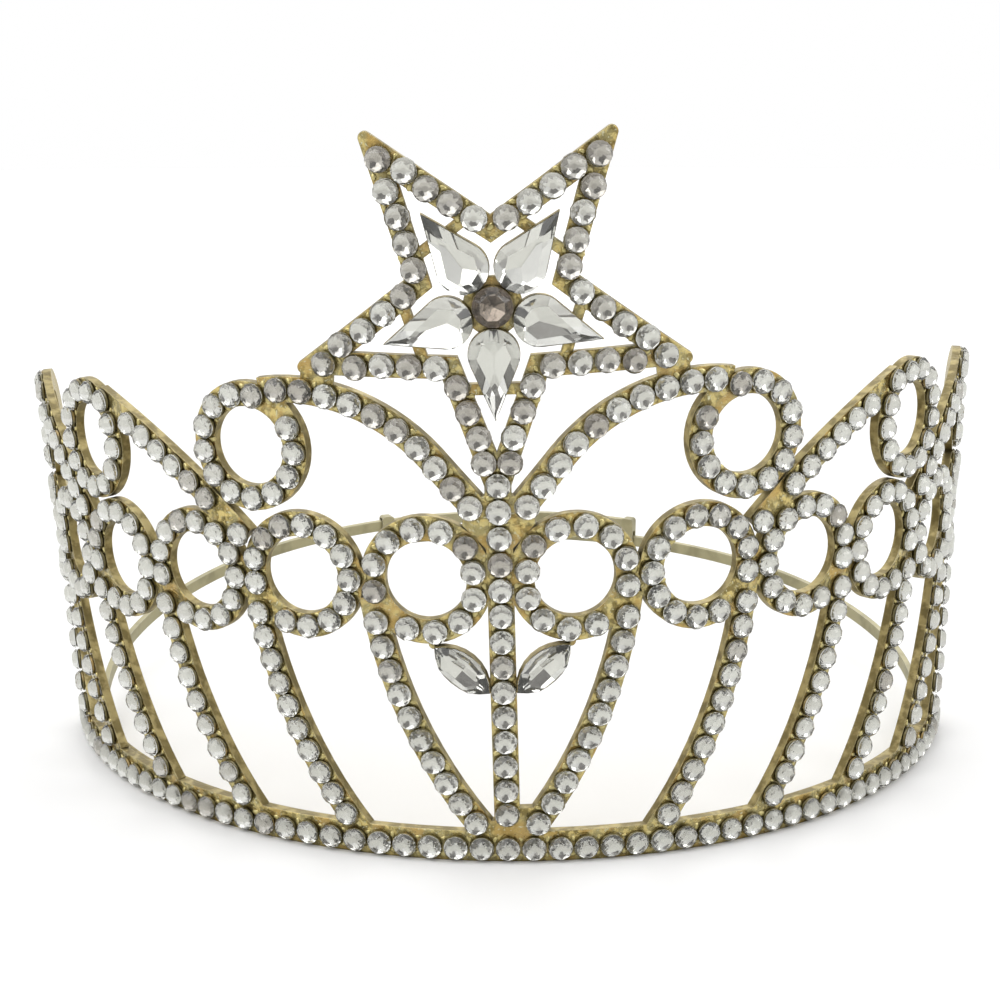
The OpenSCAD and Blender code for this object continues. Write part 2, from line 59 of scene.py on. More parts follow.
# The wall, as the metal frame has it: millimetres and radians.
BASE_RADIUS = 84.0
FLARE = math.radians(2.8)
LEAN = math.radians(1.55)
RING_START, RING_PITCH, RING_HEIGHT, RING_DROP = 11.2, 19.8, 47.25, 1.2
UPPER_START, UPPER_PITCH = 38.5, 37.95
UPPER_HEIGHTS = (67.5, 64.8, 61.1)
SECOND_FOOT, FOOT_PITCH, FOOT_LEVEL = 26.0, 19.6, 6.8
BAR_CURVE = 86.0
BAR_JOINT = (10.6, math.radians(-40.4))
DIAGONAL_CURVE = 79.0
DIAGONAL_LOW, DIAGONAL_HIGH = (-35.0, -11.7), (-5.8, 7.1)
STAR_HEIGHT = 89.4
SOLDER_IN_STAR = ((-30.0, 9.2), (30.0, 9.2), (0, 13.0), (0, 0))
SOLDER_ON_STEM = ((-3.0, 29.8), (3.2, 30.6), (1.6, 4.6))

# Small stones, in millimetres. A row on a ring has its first angle, its step in degrees and its count.
STONE_WIDTH, STONE_RISE, STONE_BED, STONE_GIRDLE, STONE_PAVILION = 3.93, 1.35, 0.35, 0.2, 0.28
TABLE_SHARE, CULET_SHARE = 0.52, 0.25
FACETS, GIRDLE_FACETS = 8, 16
STONE_CIRCLE = 8.3
STONE_LIFT = 0.1
LEAST_PITCH = 3.93
RING_STONES = (-12.7, 27.7, 12)
UPPER_RING_STONES = (156.1, 27.9, 12)
SIDE_DARK_SHARE = 0.08
FIELD_SEED, SIDE_SEED = 20, 40
# Foil tones, fresh and darkened; the darkened foil is partly aged and partly painted dark reflection.
FRESH_TONE, DARK_FOIL_TONE = (0.75, 1.0), (0.1, 0.6)

# Packed fields of stones, each with the share of its foils that are darkened: aged foil, and on the star also
# painted dark reflection.
FIELDS = (("band", 0.08), ("stem", 0.15), ("star", 0.6), ("ring", 0.15), ("upper_ring", 0.12),
    ("swoop", 0.2), ("bar", 0.1))

# Lumps of glue, in millimetres: the farthest neighbours that share them, how far aside they lie,
# the metal that they need beyond that and under them, and the least distance between middles.
LUMP_REACH, LUMP_ASIDE, LUMP_EDGE, LUMP_DEPTH, LUMP_GAP = 4.7, 1.3, 0.45, 1.4, 1.75
GLUE_TILT = 0.05
BEAD_SEED, LUMP_SEED = 11, 13

# Large stones, in millimetres and radians.
PEARS = ("bottom", "right", "upper_right", "upper_left", "left")
PEAR_RADIUS, PEAR_REACH, PEAR_CORNERS = 3.85, 9.85, 24
PEAR_CIRCLE = 7.1
LEAF_LENGTH, LEAF_WIDTH, LEAF_CORNERS = 11.2, 5.35, 8
LEAF_ASIDE, LEAF_HEIGHT, LEAF_TURN = 6.1, 33.0, math.radians(42)
CENTRE_RADIUS, CENTRE_CORNERS = 3.05, 24
PEAR_TONE, LEAF_TONE, CENTRE_TONE = 0.95, 0.9, 0.1

# A corner this near a cutting plane lies on it, and a facet whose normal points farther back is foiled.
ON_PLANE = 1e-5
FOILED_BELOW = -0.1

# Cuts of the large stones. A row of facets is: angles from the point, height of its edge on the side,
# share of the way in where it ends, the height there, and 1 for the crown or -1 for the pavilion.
PEAR_CUT = {"bottom": 0.17, "top": 2.6, "facets": (
    ((90, 180, 270), 1.12, 0.0, 0.15, -1),
    ((0,), 1.12, 0.42, 0.15, -1),
    ((135, 225), 1.2, 0.45, 0.4, -1),
    ((38, 322), 1.2, 0.55, 0.15, -1),
    ((20, 65, 112, 160, 200, 248, 295, 340), 1.3, 0.58, 2.6, 1))}
LEAF_CUT = {"bottom": 0.17, "top": 2.4, "facets": (
    ((60, 120, 240, 300), 1.12, 0.0, 0.3, -1),
    ((20, 160, 200, 340), 1.16, 0.45, 0.5, -1),
    ((35, 90, 145, 215, 270, 325), 1.3, 0.5, 2.4, 1))}
ROUND_CUT = {"bottom": 0.17, "top": 2.4, "facets": (
    (range(0, 360, 45), 1.12, 0.05, 0.15, -1),
    (range(0, 360, 45), 1.25, 0.6, 2.4, 1),
    (range(22, 382, 45), 1.35, 0.8, 2.15, 1))}

# Stage: metres, but for the camera's place in millimetres. A light has its place, its width and the
# setting that holds its power.
LIGHTS = {
    "key_light": ((-0.55, -0.65, 0.95), 1.3, "key_power"),
    "right_light": ((0.9, -0.35, 0.6), 0.6, "fill_power"),
    "back_light": ((0.1, 0.9, 0.8), 0.8, "fill_power"),
}
LIGHT_AIM = Vector((0, 0, 0.05))
CAMERA_PLACE = Vector((0.94, -351.1, 120.2))
CAMERA_WAY = Vector((-0.00865, 1, -0.2285))
SENSOR_WIDTH, NEAREST_SEEN = 36.0, 0.01
PHOTOGRAPHER_WAY = (0.0, -0.91, 0.41)
PHOTOGRAPHER_TINT = (1.0, 0.95, 0.92)
WHITE = (1, 1, 1)
CLOUDY_TONE = 0.985

# Ways in which the seed of a noise shifts it on each axis.
NOISE_SHIFT = (1.0, -1.0, 0.7)


# Places on the wall.

def wall_radius(h):
    return BASE_RADIUS + h * math.sin(FLARE)


def level_to_h(s, level):
    """Height up the wall where it stands at a level above the surface."""
    rise = BASE_RADIUS * math.sin(s / BASE_RADIUS) * math.sin(LEAN)
    return (level - rise) / math.cos(LEAN) / math.cos(FLARE)


def wall_place(s, h, turn=0.0):
    """Matrix in metres at arc s and height h: X along the wall, Y up it, Z outward, turned about Z."""
    lean = Matrix.Rotation(-LEAN, 4, "Y") @ Matrix.Rotation(s / BASE_RADIUS, 4, "Z")
    out = Matrix.Translation((0, -wall_radius(h), h * math.cos(FLARE)))
    out = out @ Matrix.Rotation(math.pi / 2 + FLARE, 4, "X")
    place = lean @ out @ Matrix.Rotation(turn, 4, "Z")
    place.translation *= MM
    return place


def drawn(p, x, y):
    """Wall place (s, h) of a point x, y of the flat drawing laid on the wall at place p."""
    return (p[0] + math.asin(x / wall_radius(p[1] + y)) * BASE_RADIUS, p[1] + y)


def flat(p, q):
    """Wall place q on the flat drawing laid on the wall at place p."""
    return Vector((wall_radius(q[1]) * math.sin((q[0] - p[0]) / BASE_RADIUS), q[1] - p[1]))


def ring_place(n):
    return (RING_START + RING_PITCH * (n - 1), RING_HEIGHT - RING_DROP * max(0, n - 2))


def upper_place(n):
    return (UPPER_START + UPPER_PITCH * (n - 1), UPPER_HEIGHTS[n - 1])


def mirrored(side, p):
    return (side * p[0], p[1])


def arc_row(low, high, hand, radius):
    """Wall places a stone's pitch apart along an arc; its centre is left of the way up where hand is 1."""
    middle = ((low[0] + high[0]) / 2, (low[1] + high[1]) / 2)
    a, b = (flat(middle, p) for p in ((low, high) if hand > 0 else (high, low)))
    way = b - a
    rise = math.sqrt(radius**2 - (way.length / 2) ** 2) / way.length
    centre = (a + b) / 2 + rise * Vector((-way.y, way.x))
    start = math.atan2(*reversed(a - centre))
    sweep = (math.atan2(*reversed(b - centre)) - start + math.pi) % math.tau - math.pi
    count = int(abs(sweep) * radius / LEAST_PITCH)
    for i in range(count + 1):
        t = start + sweep * i / count
        yield drawn(middle, centre.x + radius * math.cos(t), centre.y + radius * math.sin(t))


def bar_row(side, n):
    foot_s = side * (SECOND_FOOT + FOOT_PITCH * (n - 2))
    foot = (foot_s, level_to_h(foot_s, FOOT_LEVEL))
    reach, angle = BAR_JOINT
    joint = mirrored(side, drawn(ring_place(n), reach * math.cos(angle), reach * math.sin(angle)))
    return arc_row(foot, joint, side, BAR_CURVE)


def diagonal_row(side, n):
    up = upper_place(n)
    low, high = (mirrored(side, (up[0] + x, up[1] + y)) for x, y in (DIAGONAL_LOW, DIAGONAL_HIGH))
    return arc_row(low, high, -side, DIAGONAL_CURVE)


def circle_row(side, p, start, step, count):
    for i in range(count):
        a = math.radians(start + step * i)
        yield mirrored(side, drawn(p, STONE_CIRCLE * math.cos(a), STONE_CIRCLE * math.sin(a)))


def ring_row(side, n):
    return circle_row(side, ring_place(n), *RING_STONES)


def upper_ring_row(side, n):
    return circle_row(side, upper_place(n), *UPPER_RING_STONES)


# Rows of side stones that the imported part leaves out: how a row runs, and the numbers of its rows.
SIDE_ROWS = {
    "side_ring_stones": (ring_row, (3, 4, 5, 6)),
    "side_upper_ring_stones": (upper_ring_row, (2, 3)),
    "side_bar_stones": (bar_row, (2, 3, 4, 5, 6)),
    "diagonal_stones": (diagonal_row, (2, 3)),
}


def place_matrix(point, outward):
    along = UP.cross(outward).normalized()
    rotation = Matrix((along, outward.cross(along), outward)).transposed().to_4x4()
    return Matrix.Translation(point) @ rotation


def field_places(node):
    """Places of the stones that a packed field holds: the middle of each base, with its outward way."""
    mesh = bmesh.new()
    mesh.from_mesh(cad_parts[node].data)
    bmesh.ops.remove_doubles(mesh, verts=mesh.verts, dist=1e-6)
    left, places = set(mesh.verts), []
    while left:
        island, edge = set(), {min(left, key=lambda v: v.index)}
        while edge:
            island |= edge
            edge = {e.other_vert(v) for v in edge for e in v.link_edges} - island
        left -= island
        corners = sorted(island, key=lambda v: v.index)
        centre = sum((v.co for v in corners), Vector()) / len(corners)
        corners.sort(key=lambda v: (v.co - centre).length)
        half = len(corners) // 2
        top, base = (sum((v.co for v in part), Vector()) / half for part in (corners[:half], corners[half:]))
        places.append((base, (top - base).normalized()))
    mesh.free()
    return [place_matrix(p - STONE_LIFT * MM * n, n) for p, n in sorted(places, key=lambda q: tuple(q[0]))]


def clear_of(places, others, gap):
    """The places that keep the gap, in millimetres, to the others and to each other."""
    kept = []
    for p in places:
        near = [q for q in others + kept if (q.translation - p.translation).length < gap * MM]
        if not near:
            kept.append(p)
    return kept


def beside_pairs(places):
    """Places on the metal, on both sides of the line between neighbouring stones."""
    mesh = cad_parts["crown_frame"].data
    metal = BVHTree.FromPolygons([v.co for v in mesh.vertices], [p.vertices for p in mesh.polygons])
    found = []
    for i, p in enumerate(places):
        for q in places[i + 1:]:
            way = q.translation - p.translation
            if way.length < LUMP_REACH * MM:
                outward = (p.col[2].xyz + q.col[2].xyz).normalized()
                middle = (p.translation + q.translation) / 2
                for side in SIDES:
                    step = outward.cross(way).normalized() * side * MM
                    edge = middle + step * (LUMP_ASIDE + LUMP_EDGE) + outward * MM
                    if metal.ray_cast(edge, -outward, LUMP_DEPTH * MM)[0]:
                        found.append(place_matrix(middle + step * LUMP_ASIDE, outward))
    return clear_of(found, places, LUMP_GAP)


# Node helpers.

MADE = {}


def once(maker, *given):
    """What the maker makes, made the first time that it is asked for."""
    if maker not in MADE:
        MADE[maker] = maker(*given)
    return MADE[maker]


def add_node(tree, kind, name="", inputs=None, **settings):
    """A labelled node; an input goes by its name or number, and is a value or a socket to link."""
    node = tree.nodes.new(kind)
    node.label = name
    for key, value in settings.items():
        setattr(node, key, value)
    for key, value in (inputs or {}).items():
        if isinstance(value, bpy.types.NodeSocket):
            tree.links.new(value, node.inputs[key])
        else:
            node.inputs[key].default_value = value
    return node


def math_node(tree, operation, a, b=0.0, clamp=False):
    inputs = {0: a, 1: b}
    node = add_node(tree, "ShaderNodeMath", operation.title(), inputs, operation=operation, use_clamp=clamp)
    return node.outputs[0]


def plus(tree, a, b, clamp=False):
    return math_node(tree, "ADD", a, b, clamp)


def minus(tree, a, b, clamp=False):
    return math_node(tree, "SUBTRACT", a, b, clamp)


def times(tree, a, b, clamp=False):
    return math_node(tree, "MULTIPLY", a, b, clamp)


def scaled(tree, value, gain, base):
    return plus(tree, times(tree, value, gain), base)


def vector_node(tree, operation, name, *vectors):
    inputs = dict(enumerate(vectors))
    return add_node(tree, "ShaderNodeVectorMath", name, inputs, operation=operation).outputs


def combined(tree, name, **axes):
    return add_node(tree, "ShaderNodeCombineXYZ", name, axes).outputs[0]


def ramp(tree, name, value, start, end, low=0.0, high=1.0, soft=True):
    """Low where the value is at its start, high where it is at its end, and held beyond them."""
    inputs = {"Value": value, "From Min": start, "From Max": end, "To Min": low, "To Max": high}
    kind = "SMOOTHSTEP" if soft else "LINEAR"
    return add_node(tree, "ShaderNodeMapRange", name, inputs, interpolation_type=kind).outputs[0]


def rgba(tint):
    return (*tint[:3], 1.0)


def mix_colour(tree, factor, a, b, share=1.0):
    """Colour b over colour a by the factor times the share; each colour is a socket or a plain one."""
    if share < 1.0:
        factor = times(tree, factor, share)
    a, b = (c if isinstance(c, bpy.types.NodeSocket) else rgba(c) for c in (a, b))
    node = add_node(tree, "ShaderNodeMix", "Mix Colour", {0: factor, 6: a, 7: b}, data_type="RGBA")
    return node.outputs[2]


def new_tree(name, kind, inputs, outputs):
    tree = bpy.data.node_groups.new(name, kind)
    for title, socket, default in inputs:
        made = tree.interface.new_socket(title, in_out="INPUT", socket_type="NodeSocket" + socket)
        if default is not None:
            made.default_value = default
    for title, socket in outputs:
        tree.interface.new_socket(title, in_out="OUTPUT", socket_type="NodeSocket" + socket)
    return tree, tree.nodes.new("NodeGroupInput").outputs, tree.nodes.new("NodeGroupOutput").inputs


# Shader groups: each puts out only values, colours or normals.

def object_place(tree):
    return add_node(tree, "ShaderNodeTexCoord", "Place").outputs["Object"]


def true_normal(tree):
    return add_node(tree, "ShaderNodeNewGeometry", "Surface").outputs["True Normal"]


def object_noise(tree, scale, detail, rough, seed):
    shift = tuple(seed * share for share in NOISE_SHIFT)
    moved = vector_node(tree, "ADD", "Shift", object_place(tree), shift)[0]
    inputs = {"Vector": moved, "Scale": scale, "Detail": detail, "Roughness": rough}
    return add_node(tree, "ShaderNodeTexNoise", "Noise", inputs).outputs[0]


def patches_group():
    """Soft-edged patches: where a layer has worn, darkened or run."""
    tree, given, out = new_tree("Worn Patches", "ShaderNodeTree",
        [("Scale", "Float", 200.0), ("Spread", "Float", 0.5), ("Softness", "Float", 0.1)],
        [("Mask", "Float")])
    noise = object_noise(tree, given["Scale"], detail=3.0, rough=0.55, seed=1.3)
    low = minus(tree, given["Spread"], given["Softness"])
    high = plus(tree, given["Spread"], given["Softness"])
    tree.links.new(ramp(tree, "Patch", noise, low, high), out["Mask"])
    return tree


def edge_wear_group():
    """Edges rubbed bright: where the rounded normal leaves the flat one."""
    tree, given, out = new_tree("Edge Wear", "ShaderNodeTree",
        [("Width", "Float", 0.00025), ("Breakup Scale", "Float", 900.0)],
        [("Mask", "Float"), ("Normal", "Vector")])
    bevel = add_node(tree, "ShaderNodeBevel", "Rounded Edge", {"Radius": given["Width"]}, samples=4)
    rounded = bevel.outputs[0]
    turn = vector_node(tree, "DOT_PRODUCT", "Turn", rounded, true_normal(tree))["Value"]
    edge = ramp(tree, "Edge", turn, start=0.97, end=0.75, soft=False)
    broken = object_noise(tree, given["Breakup Scale"], detail=2.0, rough=0.6, seed=4.0)
    least_wear = 0.25
    tree.links.new(times(tree, edge, plus(tree, broken, least_wear), clamp=True), out["Mask"])
    tree.links.new(rounded, out["Normal"])
    return tree


def sawn_edge_group():
    """The plate's sawn edges, which stand across the wall, and its outer face, where the glue is."""
    tree, given, out = new_tree("Sawn Edge", "ShaderNodeTree",
        [("Facing", "Float", 0.9), ("Sharpness", "Float", 0.25)],
        [("Mask", "Float"), ("Outer Face", "Float")])
    level = vector_node(tree, "MULTIPLY", "Level", object_place(tree), (1, 1, 0))[0]
    radial = vector_node(tree, "NORMALIZE", "Outward", level)[0]
    outward = vector_node(tree, "DOT_PRODUCT", "Across", radial, true_normal(tree))["Value"]
    across = math_node(tree, "ABSOLUTE", outward)
    turned = minus(tree, given["Facing"], given["Sharpness"])
    tree.links.new(ramp(tree, "Edge", across, given["Facing"], turned, soft=False), out["Mask"])
    outer = ramp(tree, "Outer Face", outward, start=-0.6, end=0.4, soft=False)
    tree.links.new(outer, out["Outer Face"])
    return tree


def hand_finish_group():
    """Fine unevenness of a hand-cleaned surface, as a height and a gloss change."""
    tree, given, out = new_tree("Hand Finish", "ShaderNodeTree",
        [("Scale", "Float", 1500.0), ("Gloss Change", "Float", 0.1)],
        [("Height", "Float"), ("Roughness Change", "Float")])
    broad_scale, fine_share, middle = 0.2, 0.5, 0.5
    fine = object_noise(tree, given["Scale"], detail=3.0, rough=0.6, seed=2.1)
    scale = times(tree, given["Scale"], broad_scale)
    broad = object_noise(tree, scale, detail=2.0, rough=0.5, seed=7.7)
    tree.links.new(plus(tree, times(tree, fine, fine_share), broad), out["Height"])
    change = times(tree, minus(tree, broad, middle), given["Gloss Change"])
    tree.links.new(change, out["Roughness Change"])
    return tree


def spot_group():
    """A ragged round patch about a place."""
    tree, given, out = new_tree("Spot", "ShaderNodeTree",
        [("Place", "Vector", (0, 0, 0)), ("Radius", "Float", 0.002)], [("Mask", "Float")])
    away = vector_node(tree, "DISTANCE", "Away", object_place(tree), given["Place"])["Value"]
    least_reach, solid_share = 0.5, 0.6
    noise = object_noise(tree, scale=700.0, detail=2.0, rough=0.5, seed=3.1)
    ragged = times(tree, given["Radius"], plus(tree, noise, least_reach))
    tree.links.new(ramp(tree, "Patch", away, ragged, times(tree, ragged, solid_share)), out["Mask"])
    return tree


def group(tree, maker, **inputs):
    """Outputs of a shader group, placed in a material with its own values."""
    made = once(maker)
    values = {key.replace("_", " "): value for key, value in inputs.items()}
    return add_node(tree, "ShaderNodeGroup", made.name, values, node_tree=made).outputs


def patches(tree, scale, spread, softness):
    return group(tree, patches_group, Scale=scale, Spread=spread, Softness=softness)["Mask"]


# Materials.

def new_material(name):
    material = bpy.data.materials.new(name)
    material.use_nodes = True
    tree = material.node_tree
    return material, tree, tree.nodes["Principled BSDF"].inputs


def set_plain(shader, **values):
    """Values that are the same all over the surface, on the shader's own sockets."""
    for key, value in values.items():
        shader[key.replace("_", " ")].default_value = value


def set_bump(tree, shader, name, strength, distance, **sockets):
    """A bump of the height in the sockets, which feeds the shader's normal."""
    bump = add_node(tree, "ShaderNodeBump", name, {"Strength": strength, "Distance": distance, **sockets})
    tree.links.new(bump.outputs[0], shader["Normal"])


def set_gloss(tree, shader, finish, roughness):
    tree.links.new(plus(tree, finish["Roughness Change"], roughness, clamp=True), shader["Roughness"])


def solder_spots():
    """Middles of the orange solder: the star's side points, notch and middle, and the stem's joints."""
    points = [drawn((0, STAR_HEIGHT), x, y) for x, y in SOLDER_IN_STAR]
    return [wall_place(*p).translation for p in (*points, *SOLDER_ON_STEM)]


def gilt_material(look):
    """Old gilt under run glue: mottled olive gold, amber pools, painted shade along the stones, rubbed edges.
    """
    material, tree, shader = new_material("olive_gilt")
    edge = group(tree, edge_wear_group, Width=0.0003, Breakup_Scale=900.0)
    finish = group(tree, hand_finish_group, Scale=1400.0, Gloss_Change=0.35)
    plate = group(tree, sawn_edge_group, Sharpness=0.25)
    sawn, outer = plate["Mask"], plate["Outer Face"]
    dull = patches(tree, scale=300.0, spread=0.5, softness=0.3)
    back = mix_colour(tree, dull, look.gilt_back, look.gilt_back_shade)
    mottle = patches(tree, scale=950.0, spread=0.49, softness=0.07)
    front = mix_colour(tree, mottle, look.gilt, look.gilt_shade)
    film = patches(tree, scale=340.0, spread=0.5, softness=0.06)
    front = mix_colour(tree, film, front, look.film, share=0.35)
    amber = patches(tree, scale=230.0, spread=0.56, softness=0.06)
    for spot in solder_spots():
        solder = group(tree, spot_group, Place=spot, Radius=0.0026)["Mask"]
        amber = math_node(tree, "MAXIMUM", amber, solder)
    front = mix_colour(tree, amber, front, look.amber, share=0.85)
    # Painted glints: fine pale specks of painted highlight in the glue over the gilt.
    painted_glints = patches(tree, scale=1900.0, spread=0.64, softness=0.04)
    front = mix_colour(tree, painted_glints, front, look.painted_glint)
    streaks = patches(tree, scale=420.0, spread=0.52, softness=0.1)
    cut = mix_colour(tree, streaks, look.sawn, look.sawn_light)
    coloured = mix_colour(tree, sawn, mix_colour(tree, outer, back, front), cut)
    coloured = mix_colour(tree, edge["Mask"], coloured, look.rubbed)
    # Painted shade: ambient occlusion darkens the metal to dark olive where the stones and glue stand close
    # over it.
    close = add_node(tree, "ShaderNodeAmbientOcclusion", "Close To Stones", {"Distance": 0.001}, samples=4)
    shaded = minus(tree, 1.0, close.outputs["AO"], clamp=True)
    tree.links.new(mix_colour(tree, shaded, coloured, look.painted_shade), shader["Base Color"])
    coat = scaled(tree, film, gain=0.6, base=0.3)
    tree.links.new(times(tree, coat, minus(tree, outer, sawn, clamp=True)), shader["Coat Weight"])
    set_plain(shader, Metallic=0.85, Coat_Roughness=0.08)
    set_gloss(tree, shader, finish, scaled(tree, sawn, gain=0.2, base=0.23))
    set_bump(tree, shader, "Uneven Gilt", strength=0.8, distance=0.0004, Height=finish["Height"],
        Normal=edge["Normal"])
    return material


def pale_gilt_material(look):
    """The arms' paler, satin gilt."""
    material, tree, shader = new_material("pale_satin_gilt")
    edge = group(tree, edge_wear_group, Width=0.00025, Breakup_Scale=700.0)
    finish = group(tree, hand_finish_group, Scale=900.0, Gloss_Change=0.25)
    dull = patches(tree, scale=160.0, spread=0.56, softness=0.12)
    coloured = mix_colour(tree, dull, look.pale_gilt, look.pale_gilt_shade)
    tree.links.new(mix_colour(tree, edge["Mask"], coloured, look.pale_rubbed), shader["Base Color"])
    set_plain(shader, Metallic=0.7)
    set_gloss(tree, shader, finish, roughness=0.42)
    set_bump(tree, shader, "Uneven Gilt", strength=0.25, distance=0.0002, Height=finish["Height"],
        Normal=edge["Normal"])
    return material


def glass_material(look):
    """Clear cut glass, a little marked by handling."""
    return marked_glass(look, "cut_glass", look.glass, clouding=0.03)[0]


def clouded_glass_material(look):
    """The centre stone's glass, dulled and scratched."""
    material, tree, shader = marked_glass(look, "clouded_glass", look.glass_clouded, clouding=0.35)
    finish = group(tree, hand_finish_group, Scale=1500.0, Gloss_Change=0.2)
    set_bump(tree, shader, "Scratches", strength=0.6, distance=0.0002, Height=finish["Height"])
    return material


def marked_glass(look, name, tint, clouding):
    """Cut glass with patches that handling has clouded."""
    material, tree, shader = new_material(name)
    set_plain(shader, Base_Color=rgba(tint), Metallic=0.0, Transmission_Weight=0.95, IOR=look.glass_ior)
    marks = patches(tree, scale=700.0, spread=0.66, softness=0.08)
    tree.links.new(times(tree, marks, clouding), shader["Roughness"])
    return material, tree, shader


def foil_material(look):
    """Silver foil behind a stone; its tone attribute tells a fresh foil from a darkened one, which is partly
    aged foil and partly painted dark reflection.
    """
    material, tree, shader = new_material("silver_foil")
    tone = add_node(tree, "ShaderNodeAttribute", "Stone Tone", attribute_name="tone").outputs["Fac"]
    tree.links.new(mix_colour(tree, tone, look.foil_aged_and_painted_dark, look.foil), shader["Base Color"])
    set_plain(shader, Metallic=1.0)
    spots = patches(tree, scale=800.0, spread=0.6, softness=0.1)
    tree.links.new(scaled(tree, spots, gain=0.08, base=0.03), shader["Roughness"])
    return material


def glue_material(look):
    """Aged glue round the stones, olive and amber over the gilt, and glossy."""
    material, tree, shader = new_material("aged_glue")
    amber = patches(tree, scale=260.0, spread=0.62, softness=0.08)
    tree.links.new(mix_colour(tree, amber, look.glue, look.amber, share=0.6), shader["Base Color"])
    set_plain(shader, Metallic=0.25, Coat_Weight=1.0, Coat_Roughness=0.06)
    finish = group(tree, hand_finish_group, Scale=2200.0, Gloss_Change=0.3)
    set_gloss(tree, shader, finish, roughness=0.22)
    set_bump(tree, shader, "Lumpy Glue", strength=0.8, distance=0.0003, Height=finish["Height"])
    return material


def clear_glue_material(look):
    """Glossy lumps of glue, yellowed by age and by the gilt that shows through."""
    material, tree, shader = new_material("clear_glue")
    set_plain(shader, Base_Color=rgba(look.clear_glue), Metallic=0.7, Coat_Weight=1.0, Coat_Roughness=0.05,
        Roughness=0.25)
    finish = group(tree, hand_finish_group, Scale=2400.0, Gloss_Change=0.0)
    set_bump(tree, shader, "Lumpy Glue", strength=0.6, distance=0.0003, Height=finish["Height"])
    return material


def floor_material(look):
    """Pale floor, white far away; the crown mirrors a greyer one, darkest before the camera."""
    material, tree, shader = new_material("pale_floor")
    place = object_place(tree)
    cloudy = patches(tree, scale=6.0, spread=0.5, softness=0.4)
    near = mix_colour(tree, cloudy, look.floor, [c * CLOUDY_TONE for c in look.floor])
    away = vector_node(tree, "LENGTH", "Away", place)["Value"]
    far = ramp(tree, "Far Away", away, start=0.25, end=1.2)
    ahead = add_node(tree, "ShaderNodeSeparateXYZ", "Ahead", {"Vector": place}).outputs["Y"]
    before = ramp(tree, "Far Ahead", ahead, start=-0.34, end=-0.5)
    in_stones = mix_colour(tree, before, look.floor_in_stones, look.floor_far)
    seen = add_node(tree, "ShaderNodeLightPath", "Ray").outputs["Is Camera Ray"]
    plain = mix_colour(tree, far, near, WHITE)
    tree.links.new(mix_colour(tree, seen, in_stones, plain), shader["Base Color"])
    glow = scaled(tree, far, gain=0.3, base=0.05)
    tree.links.new(times(tree, seen, glow), shader["Emission Strength"])
    set_plain(shader, Emission_Color=rgba(WHITE), Roughness=0.6)
    return material


def material_of(maker):
    return once(maker, bpy.context.scene.crown_look)


# Geometry trees.

def ring_of_points(tree, radius, height, count, turn=0.0):
    circle = add_node(tree, "GeometryNodeMeshCircle", "Ring", {"Vertices": count, "Radius": radius})
    lift = combined(tree, "Height", Z=height)
    inputs = {"Geometry": circle.outputs[0], "Translation": lift, "Rotation": (0, 0, turn)}
    return add_node(tree, "GeometryNodeTransform", "Lift", inputs).outputs[0]


def stored(tree, name):
    """A way that each place carries."""
    kind = "GeometryNodeInputNamedAttribute"
    return add_node(tree, kind, name.title(), {"Name": name}, data_type="FLOAT_VECTOR").outputs[0]


def placed(tree, given, instance, tilt, least):
    """The instance on each place, made real: turned outward, with a seeded tilt, spin and size."""
    ways = {0: stored(tree, "outward"), 1: stored(tree, "along")}
    kind = "FunctionNodeAxesToRotation"
    facing = add_node(tree, kind, "Facing", ways, primary_axis="Z", secondary_axis="X")
    inputs = {0: (-1.0, -1.0, 0.0), "Scale": tilt}
    back = add_node(tree, "ShaderNodeVectorMath", "Back", inputs, operation="SCALE")
    forth = combined(tree, "Forth", X=tilt, Y=tilt, Z=math.tau)
    limits = {0: back.outputs[0], 1: forth, "Seed": given["Seed"]}
    chance = add_node(tree, "FunctionNodeRandomValue", "Hand Setting", limits, data_type="FLOAT_VECTOR")
    twist = add_node(tree, "FunctionNodeEulerToRotation", "Twist", {0: chance.outputs[0]})
    turns = {0: facing.outputs[0], 1: twist.outputs[0]}
    turned = add_node(tree, "FunctionNodeRotateRotation", "Turned", turns, rotation_space="LOCAL")
    limits = {2: least, 3: 1.0, "Seed": given["Seed"]}
    size = add_node(tree, "FunctionNodeRandomValue", "Size", limits, data_type="FLOAT")
    inputs = {"Points": given["Places"], "Instance": instance, "Rotation": turned.outputs[0],
        "Scale": size.outputs[1]}
    on = add_node(tree, "GeometryNodeInstanceOnPoints", "Set On Places", inputs)
    kind = "GeometryNodeRealizeInstances"
    return add_node(tree, kind, "Make Real", {"Geometry": on.outputs[0]}).outputs[0]


def painted(tree, geometry, name, paint, where=True):
    inputs = {"Geometry": geometry, "Selection": where, "Material": paint}
    return add_node(tree, "GeometryNodeSetMaterial", name, inputs).outputs[0]


